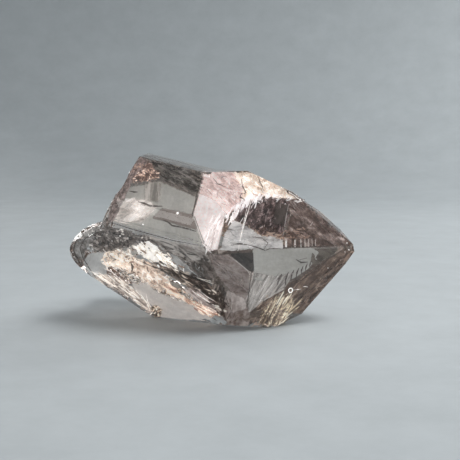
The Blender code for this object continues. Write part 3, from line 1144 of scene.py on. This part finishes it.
# small mottle at the foot: painted shade with painted glints
makeVeil("footMottle", {
    "rim": [(150, 306), (157, 304), (163, 310), (161, 318), (154, 319)],
    "depth": 0.7, "seed": 35, "wave": 0.5, "waveLength": 5, "streak": (18, 36), "turn": 60, "cloud": 34,
    "lined": 0.2, "glow": 0.2, "jag": 1.2, "open": 0.2,
    "tones": [(0.38, 0.05, 0.035, 0.026), (0.48, 0.2, 0.14, 0.1), (0.56, 0.55, 0.43, 0.33),
        (0.64, 1, 0.9, 0.78)],
})
print("veils: laid under the skin")

# thin lines: cracks and painted shade along facet edges, comb marks of painted light and shade beside the
# grey panes, and hair lines that are painted glints and edge highlights
# dark lines: cracks, and painted shade along facet edges
makeLines("darkCracks", {
    "lines": [
        (1.8, (138, 201.5), (144, 203), (150, 206), (155, 206), (163, 206)),
        (1.6, (163, 220), (168, 222), (172, 225.5), (180, 227), (188, 229), (196, 231.5)),
        (1.5, (129, 191), (134, 192), (138, 192)),
        (1.4, (241.5, 179), (242.5, 186), (246, 193), (241, 194), (240, 197), (248, 201)),
        (1.1, (258, 176), (260, 182), (263, 188), (262, 193)),
        (0.9, (221, 180), (222, 177), (226, 176)),
        (0.9, (213, 178), (218, 184), (226, 187)),
        (2, (233, 244.5), (239, 243.6), (247, 244.6)),
        (1.2, (247, 244.6), (256, 247), (265, 250.5), (270, 249)),
        (1, (253, 237), (262, 238), (268, 243), (264, 249)),
        (0.9, (223, 231), (229, 229), (236, 231)),
        (1, (251.5, 253), (252.5, 262), (251, 276), (249, 290), (247, 308)),
        (1.8, (296, 259.5), (301, 262.5), (308, 262)),
        (1.2, (299, 260), (307, 258)),
        (1.2, (87, 226), (82, 233), (76, 240), (73.5, 250), (79, 262), (90, 275)),
        (1, (92, 232), (84, 240), (80, 248), (83, 258), (89, 268), (97, 279)),
        (2.6, (130.5, 262.5), (132.5, 267), (131.5, 272)),
        (1.4, (134, 258), (146, 264), (160, 269), (176, 272)),
        (0.8, (207, 254), (224, 254), (250, 252.5)),
        (0.8, (108, 221.5), (133, 229.5), (175, 241), (204, 246)),
        (0.8, (203, 172), (197, 193), (192.8, 213)),
        (0.7, (343, 249), (330, 258), (302, 280), (279, 289.5)),
        (0.8, (139, 156.6), (152, 155.6), (178, 161.6), (203, 169)),
        (0.9, (286, 190.6), (291, 189.6), (297, 192.6), (303, 198.4)),
        (0.8, (289, 191.5), (296, 195.5), (300, 200)),
        (1.6, (222, 284), (224, 296), (222, 308), (226, 320)),
        (1.2, (216, 286), (218, 298), (222, 312)),
    ],
    "depth": 0.6, "seed": 36, "solid": 0.9,
    "tones": [(0.3, 0.03, 0.022, 0.018), (0.7, 0.08, 0.062, 0.053)],
})
# dark comb bars: painted shade of growth lines seen through the stone
makeLines("combBars", {
    "lines": [
        (2.1, (282, 274), (278.6, 279), (277.4, 285)),
        (2, (288.5, 272), (286, 278), (285, 285)),
        (1.9, (294, 270), (291.6, 275), (290.6, 281)),
        (1.8, (299, 268), (297, 272.5), (296, 277.5)),
        (1.6, (303.4, 265.6), (301.6, 270), (301, 274.5)),
        (1.5, (307.4, 263.4), (306, 267), (305.4, 271)),
        (1.3, (311, 261), (310, 264.4), (309.4, 268)),
        (3, (292, 239), (292.5, 247.5)),
        (2.6, (298, 238), (297.5, 247.5)),
        (1.7, (303, 239), (303.5, 247)),
        (1.4, (306.6, 238), (307, 247)),
        (1.4, (310, 239), (310.5, 247)),
        (1.2, (313.6, 238), (314, 246)),
    ],
    "depth": 0.7, "seed": 37,
    "tones": [(0.3, 0.045, 0.032, 0.028), (0.7, 0.1, 0.077, 0.07)],
})
# light between the comb bars: painted light of the same growth lines
makeLines("combLight", {
    "lines": [
        (5.5, (286, 240), (286, 247.5)),
        (3, (295, 239), (295, 247.5)),
        (2, (300.8, 239), (301, 247.5)),
        (1.3, (305, 238), (305, 247)),
        (1.2, (308.5, 239), (308.8, 247)),
        (1.1, (312, 238.5), (312.2, 246.5)),
        (1, (315.5, 239), (315.5, 246)),
    ],
    "depth": 1, "seed": 38, "glow": 0.35,
    "tones": [(0.3, 0.5, 0.475, 0.46), (0.7, 0.72, 0.7, 0.68)],
})
# bright hair lines: painted glints along edges and cracks
makeLines("brightLines", {
    "lines": [
        (0.9, (251.5, 200), (246, 218), (240, 240)),
        (0.7, (248, 203), (243, 226), (238, 251)),
        (0.9, (226, 212), (220, 232), (214, 250)),
        (1.1, (286, 191), (293, 194), (302, 202)),
        (1.3, (192, 291), (203, 298), (215, 306)),
        (0.9, (196, 288), (206, 296), (214, 301)),
        (1, (101, 262), (110, 264), (118, 270)),
        (0.8, (103, 268), (112, 272), (120, 279)),
        (0.9, (142, 297), (147, 304), (150, 310)),
        (0.9, (146, 294), (148, 303), (152, 308)),
        (0.9, (118, 231), (121, 229.5), (124, 229)),
        (0.8, (96, 232), (100, 230), (104, 230)),
        (0.9, (293, 290), (298, 289.5), (302, 290)),
        (0.9, (303, 287), (305, 286.5), (308, 287)),
        (0.8, (100, 273.5), (94, 273), (90, 271)),
        (0.9, (310, 226), (313, 222)),
    ],
    "depth": 0.7, "seed": 39, "glow": 0.4, "solid": 0.85,
    "tones": [(0.3, 0.75, 0.69, 0.66), (0.7, 1, 0.97, 0.95)],
})
# pale lines along facet edges: painted highlights
makeLines("softLines", {
    "lines": [
        (0.8, (288.6, 204), (286, 218), (282.4, 240)),
        (0.8, (226, 254.5), (236, 261), (247, 270), (250, 275)),
        (0.6, (284, 248.4), (312, 248.2), (344, 247.8)),
        (0.6, (302, 198), (316, 208), (330, 220), (343, 233)),
        (0.7, (250, 312), (262, 301), (276, 293), (286, 288.6)),
        (0.7, (229, 292), (232, 302), (231, 313)),
    ],
    "depth": 0.6, "seed": 44, "glow": 0.2, "solid": 0.75,
    "tones": [(0.3, 0.38, 0.35, 0.335), (0.7, 0.55, 0.52, 0.5)],
})
print("lines: cracks, combs and hair lines")

# a dim sheet deep in the stone, behind the right half: painted shade that darkens what is seen through it
makeVeil("deepPaintedShade", {
    "rim": [(200, 246), (240, 244), (300, 244), (340, 246), (330, 264), (306, 292), (282, 308), (250, 326),
        (226, 326), (216, 300)],
    "depth": 5, "seed": 42, "wave": 0.8, "finest": 5, "streak": (3, 10), "turn": -30, "cloud": 5,
    "jag": 1.5, "open": 0.02, "solid": 0.9,
    "tones": [(0.36, 0.06, 0.045, 0.036), (0.5, 0.13, 0.105, 0.09), (0.64, 0.22, 0.19, 0.17)],
})

# fine strokes, from the top left over the tip to the foot: the light ones painted reflections off inner
# cracks, the dark ones painted shade
# dark strokes in the top band: painted shade
makeStrokes("bandStrokes", {
    "rim": [(152, 162), (178, 165), (202, 172), (197, 194), (184, 187), (168, 182), (156, 172)],
    "count": 55, "seed": 51, "spread": 10, "solid": 0.85, "turn": -28, "long": (5, 15), "wide": (0.7, 2),
    "tones": [(0, 0.02, 0.016, 0.014), (0.72, 0.045, 0.036, 0.03), (0.8, 0.3, 0.27, 0.25)],
})
# copper sparkles: painted highlights over dark grain
makeStrokes("copperStrokes", {
    "rim": [(132, 176), (140, 171), (150, 169), (160, 172), (160, 178), (148, 181), (134, 181)],
    "count": 70, "depth": 0.9, "seed": 52, "spread": 30, "glow": 0.15, "solid": 0.85, "turn": -10,
    "long": (1.5, 4), "wide": (0.8, 1.6),
    "tones": [(0, 0.07, 0.042, 0.036), (0.5, 0.14, 0.085, 0.068), (0.56, 0.72, 0.5, 0.4),
        (1, 1, 0.84, 0.74)],
})
# pale wisps: painted reflections off thin inner cracks
makeStrokes("wispStrokes", {
    "rim": [(112, 221), (120, 206), (130, 198), (142, 199), (158, 206), (150, 216), (138, 221), (124, 224)],
    "count": 20, "depth": 1, "seed": 53, "spread": 26, "curl": 0.2, "glow": 0.25, "solid": 0.4, "turn": 12,
    "long": (5, 18), "wide": (1.5, 4),
    "tones": [(0, 0.2, 0.17, 0.155), (0.3, 0.3, 0.26, 0.24), (0.4, 0.85, 0.79, 0.75), (1, 1, 0.96, 0.94)],
})
makeStrokes("edgeMottleStrokes", {
    "rim": [(137, 160), (148, 158), (144, 168), (132, 184), (122, 206), (112, 224), (106, 224), (114, 200),
        (126, 179)],
    "count": 40, "depth": 0.7, "seed": 54, "spread": 25, "glow": 0.1, "solid": 0.4, "turn": 58,
    "long": (2, 8), "wide": (0.6, 1.7),
    "tones": [(0, 0.06, 0.045, 0.04), (0.5, 0.12, 0.09, 0.08), (0.6, 0.45, 0.35, 0.33),
        (1, 0.72, 0.6, 0.58)],
})
# pink-white strokes: painted reflections off inner cracks
makeStrokes("pinkStrokes", {
    "rim": [(205, 173), (238, 173), (240, 196), (228, 211), (216, 200), (203, 192)],
    "count": 34, "seed": 55, "spread": 24, "curl": 0.3, "glow": 0.25, "solid": 0.5, "turn": -38,
    "long": (4, 14), "wide": (0.6, 1.8),
    "tones": [(0, 0.3, 0.21, 0.2), (0.4, 0.4, 0.3, 0.29), (0.5, 0.85, 0.77, 0.75), (1, 1, 0.95, 0.94)],
})
# pale strokes: painted reflections off inner cracks
makeStrokes("paleStrokes", {
    "rim": [(200, 226), (214, 214), (224, 216), (220, 234), (213, 250), (207, 250)],
    "count": 34, "depth": 0.7, "seed": 56, "spread": 6, "glow": 0.3, "turn": 66, "long": (8, 24),
    "wide": (0.5, 1.4),
    "tones": [(0, 0.4, 0.33, 0.32), (0.35, 0.52, 0.45, 0.44), (0.45, 0.95, 0.9, 0.89), (1, 1, 1, 1)],
})
# white strokes beside dark ones: painted reflections next to painted shade
makeStrokes("fringeStrokes", {
    "rim": [(224, 220), (230, 208), (242, 199), (256, 197), (256, 204), (246, 216), (240, 226), (230, 226)],
    "count": 26, "depth": 0.7, "seed": 57, "spread": 8, "glow": 0.35, "solid": 0.65, "turn": 69,
    "long": (4, 14), "wide": (0.5, 1.5),
    "tones": [(0, 0.06, 0.045, 0.045), (0.28, 0.16, 0.12, 0.12), (0.34, 0.9, 0.84, 0.84), (1, 1, 1, 1)],
})
# white strokes under the top rim: painted reflections
makeStrokes("rimStrokes", {
    "rim": [(246, 198), (258, 193), (274, 193), (292, 198), (300, 202), (286, 202), (268, 200), (254, 204)],
    "count": 20, "seed": 58, "glow": 0.35, "solid": 0.5, "turn": 12, "long": (3, 12), "wide": (0.7, 2),
    "tones": [(0, 0.5, 0.42, 0.41), (0.3, 0.9, 0.85, 0.84), (1, 1, 1, 1)],
})
# cream and white strokes: painted highlights
makeStrokes("creamStrokes", {
    "rim": [(234, 173), (256, 175), (272, 182), (286, 194), (264, 192), (248, 196), (244, 186)],
    "count": 60, "seed": 59, "spread": 30, "curl": 0.4, "glow": 0.3, "turn": -36, "long": (3, 10),
    "wide": (0.6, 1.7),
    "tones": [(0, 0.38, 0.27, 0.21), (0.3, 0.6, 0.47, 0.39), (0.4, 1, 0.93, 0.84), (1, 1, 1, 0.98)],
})
# dark strokes in the brown cloud: painted shade
makeStrokes("cloudStrokes", {
    "rim": [(234, 214), (246, 206), (258, 199), (276, 198), (288, 212), (284, 234), (262, 234), (248, 226)],
    "count": 90, "depth": 1.2, "seed": 60, "glow": 0.05, "solid": 0.7, "turn": 62, "long": (2, 9),
    "wide": (0.6, 1.7),
    "tones": [(0, 0.02, 0.014, 0.013), (0.55, 0.06, 0.042, 0.04), (0.62, 0.22, 0.165, 0.16),
        (1, 0.55, 0.46, 0.45)],
})
# dark strokes at the tip: painted shade over the smoky colour
makeStrokes("tipStrokes", {
    "rim": [(290, 202), (304, 202), (330, 222), (346, 240), (344, 247), (314, 240), (292, 232)],
    "count": 46, "depth": 1.2, "seed": 61, "spread": 14, "solid": 0.5, "turn": -40, "long": (4, 14),
    "wide": (0.5, 1.5),
    "tones": [(0, 0.05, 0.036, 0.03), (0.5, 0.09, 0.068, 0.06), (0.6, 0.3, 0.25, 0.235),
        (1, 0.5, 0.43, 0.41)],
})
# grey strokes: the painted view through the clear stone
makeStrokes("patchStrokes", {
    "rim": [(224, 236), (236, 222), (250, 230), (270, 240), (282, 246), (250, 249), (222, 250)],
    "count": 24, "depth": 0.9, "seed": 62, "curl": 0.4, "glow": 0.1, "solid": 0.4, "turn": 2,
    "long": (4, 14), "wide": (0.6, 2),
    "tones": [(0, 0.08, 0.075, 0.07), (0.35, 0.16, 0.15, 0.145), (0.45, 0.5, 0.49, 0.48),
        (1, 0.75, 0.73, 0.72)],
})
# dark strokes in the panel: painted shade
makeStrokes("panelStrokes", {
    "rim": [(209, 257), (228, 256), (248, 274), (248, 296), (236, 294), (220, 278)],
    "count": 16, "depth": 1, "seed": 63, "spread": 14, "solid": 0.25, "turn": -20, "long": (6, 22),
    "wide": (0.6, 2.4),
    "tones": [(0, 0.05, 0.036, 0.03), (0.5, 0.1, 0.075, 0.066), (0.6, 0.32, 0.28, 0.27),
        (1, 0.45, 0.41, 0.4)],
})
makeStrokes("fanStrokes", {
    "rim": [(252, 280), (272, 280), (290, 274), (288, 284), (268, 297), (257, 304), (250, 310), (250, 296)],
    "count": 40, "depth": 0.9, "seed": 64, "spread": 8, "curl": 0.06, "glow": 0.15, "solid": 0.35,
    "turn": 60, "apex": (244, 322), "long": (12, 30), "wide": (0.5, 1.4),
    "tones": [(0, 0.05, 0.044, 0.04), (0.4, 0.12, 0.11, 0.105), (0.48, 0.48, 0.46, 0.45),
        (1, 0.8, 0.77, 0.75)],
})
# dark brown strokes low on the right: the smoky colour deepened by painted shade
makeStrokes("smokeAndShadeStrokes", {
    "rim": [(350, 254), (336, 280), (316, 304), (300, 312), (296, 298), (316, 280), (334, 264), (344, 254)],
    "count": 60, "depth": 1.2, "seed": 65, "spread": 12, "turn": 44, "long": (4, 18), "wide": (0.6, 2.2),
    "tones": [(0, 0.03, 0.016, 0.011), (0.6, 0.07, 0.042, 0.03), (0.7, 0.24, 0.165, 0.125),
        (1, 0.42, 0.31, 0.25)],
})
# brown strokes: painted shade over the smoky colour
makeStrokes("brownStrokes", {
    "rim": [(254, 306), (268, 296), (286, 287), (300, 282), (296, 300), (276, 306), (262, 318), (248, 322)],
    "count": 50, "depth": 1.1, "seed": 66, "spread": 16, "glow": 0.05, "turn": 40, "long": (3, 12),
    "wide": (0.6, 1.8),
    "tones": [(0, 0.06, 0.04, 0.03), (0.5, 0.13, 0.095, 0.075), (0.6, 0.4, 0.31, 0.25),
        (1, 0.68, 0.56, 0.47)],
})
# gold and cream lines: painted reflections off inner cracks
makeStrokes("goldLines", {
    "rim": [(262, 322), (266, 308), (276, 298), (288, 293), (296, 296), (295, 310), (288, 323), (274, 326)],
    "count": 26, "seed": 67, "spread": 8, "curl": 0.08, "glow": 0.3, "turn": 60, "apex": (256, 342),
    "long": (12, 24), "wide": (0.6, 1.5),
    "tones": [(0, 0.05, 0.034, 0.024), (0.4, 0.16, 0.115, 0.08), (0.48, 0.8, 0.68, 0.5),
        (1, 1, 0.97, 0.86)],
})
# dark mottle strokes: painted shade, the palest ones painted glints
makeStrokes("mottleStrokes", {
    "rim": [(90, 240), (96, 230), (108, 227), (134, 233), (154, 241), (140, 243), (120, 250), (100, 253),
        (91, 249)],
    "count": 110, "seed": 68, "spread": 34, "glow": 0.1, "solid": 0.75, "turn": -16, "long": (2, 8),
    "wide": (0.6, 1.7),
    "tones": [(0, 0.02, 0.016, 0.014), (0.55, 0.06, 0.05, 0.045), (0.62, 0.32, 0.285, 0.27),
        (0.85, 0.55, 0.5, 0.47), (1, 1, 0.95, 0.9)],
})
# dark strokes along the shelf: painted shade
makeStrokes("shelfStrokes", {
    "rim": [(150, 240), (176, 244), (204, 250), (210, 264), (200, 268), (182, 264), (164, 254)],
    "count": 46, "depth": 1.3, "seed": 69, "spread": 12, "turn": -26, "long": (6, 20), "wide": (0.6, 2),
    "tones": [(0, 0.03, 0.024, 0.02), (0.5, 0.08, 0.066, 0.058), (0.6, 0.32, 0.29, 0.27),
        (1, 0.5, 0.46, 0.44)],
})
# bright strokes at the patch's edge: painted reflections
makeStrokes("patchEdgeStrokes", {
    "rim": [(134, 246), (148, 240), (162, 250), (178, 262), (188, 274), (170, 272), (154, 265), (138, 256)],
    "count": 44, "depth": 0.7, "seed": 70, "spread": 16, "glow": 0.35, "solid": 0.85, "turn": -36,
    "long": (3, 14), "wide": (0.6, 1.8),
    "tones": [(0, 0.1, 0.07, 0.055), (0.3, 0.25, 0.18, 0.14), (0.36, 0.95, 0.87, 0.78), (1, 1, 1, 0.98)],
})
# cream flecks: painted reflections off inner cracks
makeStrokes("creamFlecks", {
    "rim": [(100, 258), (108, 251), (120, 250), (136, 258), (150, 264), (166, 276), (160, 290), (140, 282),
        (122, 272), (104, 268)],
    "count": 110, "depth": 0.7, "seed": 71, "spread": 30, "curl": 0.3, "glow": 0.3, "solid": 0.7,
    "turn": -34, "long": (2, 10), "wide": (0.6, 1.9),
    "tones": [(0, 0.08, 0.052, 0.04), (0.2, 0.22, 0.145, 0.11), (0.27, 0.8, 0.66, 0.55),
        (0.75, 1, 0.94, 0.86), (1, 1, 1, 0.98)],
})
# bright flecks along the lower edge: painted reflections
makeStrokes("rimFlecks", {
    "rim": [(90, 273), (106, 273), (126, 281), (142, 296), (151, 306), (151, 317), (138, 304), (119, 291),
        (100, 281)],
    "count": 70, "depth": 0.6, "seed": 72, "spread": 26, "curl": 0.1, "glow": 0.25, "solid": 0.75,
    "turn": -42, "long": (5, 22), "wide": (0.6, 1.6), "apex": (154, 312),
    "tones": [(0, 0.1, 0.075, 0.062), (0.25, 0.24, 0.19, 0.165), (0.32, 0.74, 0.66, 0.6),
        (0.8, 1, 0.95, 0.89), (1, 1, 1, 0.98)],
})
# dark strokes in the wedge: painted shade, a few light ones painted glints
makeStrokes("wedgeStrokes", {
    "rim": [(154, 262), (168, 263), (190, 274), (208, 280), (222, 296), (228, 314), (220, 316), (204, 298),
        (184, 284), (166, 273)],
    "count": 95, "depth": 1, "seed": 73, "spread": 12, "glow": 0.05, "solid": 0.85, "turn": -33,
    "long": (5, 22), "wide": (0.7, 2.4),
    "tones": [(0, 0.015, 0.01, 0.008), (0.66, 0.05, 0.033, 0.026), (0.74, 0.35, 0.27, 0.22),
        (0.9, 0.9, 0.8, 0.7), (1, 1, 0.96, 0.9)],
})
# peach strokes: painted reflections off an inner crack
makeStrokes("ribbonStrokes", {
    "rim": [(162, 286), (172, 286), (186, 297), (202, 304), (220, 315), (206, 316), (188, 305), (172, 297)],
    "count": 46, "depth": 0.7, "seed": 74, "spread": 10, "glow": 0.3, "solid": 0.8, "turn": -30,
    "long": (4, 16), "wide": (0.6, 1.7),
    "tones": [(0, 0.25, 0.13, 0.09), (0.3, 0.45, 0.27, 0.2), (0.4, 0.95, 0.74, 0.62), (1, 1, 0.95, 0.88)],
})
# reddish-brown strokes below the dark brown cloud
makeStrokes("reddishBrownStrokes", {
    "rim": [(256, 226), (272, 228), (284, 232), (300, 226), (318, 236), (300, 240), (284, 238), (264, 236)],
    "count": 60, "depth": 1, "seed": 75, "spread": 26, "glow": 0.05, "turn": -6, "long": (3, 12),
    "wide": (0.7, 2),
    "tones": [(0, 0.05, 0.026, 0.018), (0.5, 0.14, 0.08, 0.058), (0.6, 0.36, 0.235, 0.18),
        (1, 0.6, 0.45, 0.37)],
})
# dark strokes in the fold: painted shade
makeStrokes("foldStrokes", {
    "rim": [(212, 284), (226, 288), (229, 312), (228, 324), (220, 320)],
    "count": 20, "seed": 76, "spread": 12, "glow": 0.1, "solid": 0.45, "turn": 74, "long": (4, 16),
    "wide": (0.6, 1.8),
    "tones": [(0, 0.02, 0.013, 0.01), (0.7, 0.05, 0.033, 0.026), (0.8, 0.36, 0.29, 0.25),
        (1, 0.6, 0.52, 0.47)],
})
# brown strokes along the foot: painted shade near where it rests
makeStrokes("footStrokes", {
    "rim": [(232, 316), (256, 312), (286, 310), (284, 326), (256, 329), (232, 327)],
    "count": 50, "seed": 77, "glow": 0.1, "solid": 0.5, "turn": 8, "long": (3, 14), "wide": (0.6, 1.9),
    "tones": [(0, 0.09, 0.062, 0.05), (0.4, 0.18, 0.135, 0.11), (0.6, 0.34, 0.26, 0.215),
        (1, 0.6, 0.48, 0.41)],
})
# flecks on the small knob at the foot: painted shade with painted glints
makeStrokes("footFlecks", {
    "rim": [(150, 308), (156, 305), (162, 310), (161, 317), (155, 319), (151, 314)],
    "count": 40, "depth": 0.5, "seed": 78, "spread": 50, "glow": 0.2, "solid": 0.85, "turn": 40,
    "long": (1.5, 4), "wide": (0.6, 1.4),
    "tones": [(0, 0.03, 0.02, 0.015), (0.5, 0.1, 0.07, 0.05), (0.58, 0.62, 0.5, 0.4), (1, 1, 0.97, 0.9)],
})
print("strokes: sown into the veils")

# beads that are painted glints, a round bubble with a painted highlight on its rim, and two open cracks
# bright beads: painted glints that glow
makeSpecks("brightSpecks", {
    "specks": [(177.5, 213.5, 0.34), (143, 224.5, 0.2), (180, 227, 0.16), (347, 243, 0.16),
        (349, 250, 0.16), (345, 252, 0.12), (120, 236, 0.16), (112, 241, 0.12), (128, 238, 0.12),
        (97, 238, 0.14), (316, 259, 0.1), (328, 268, 0.12), (336, 262, 0.1)],
    "depth": 1, "glow": 0.6, "solid": 1,
    "tones": [(0.3, 0.9, 0.86, 0.83), (0.7, 1, 1, 1)],
})
# bubble rim: a painted highlight that glows
makeRing("bubbleRing", {
    "at": (290.6, 290.2), "depth": 0.9, "glow": 0.5, "solid": 1, "radius": 0.52, "wall": 0.11,
    "tones": [(0.3, 0.9, 0.86, 0.82), (0.7, 1, 1, 1)],
})
makeGap("frontGap", {
    "rim": [(106, 262), (135, 262), (160, 272), (184, 286), (196, 300), (178, 300), (150, 290), (124, 278)],
    "depth": 3.4, "seed": 40, "wave": 3, "tint": (1, 0.93, 0.85),
})
makeGap("endGap", {
    "rim": [(84, 246), (100, 236), (128, 240), (146, 250), (128, 262), (100, 262)],
    "depth": 3, "seed": 41, "wave": 2.4, "tint": (1, 0.96, 0.92),
})
print("specks, bubble and air gaps: sealed in")

makeStage()
makeLight()
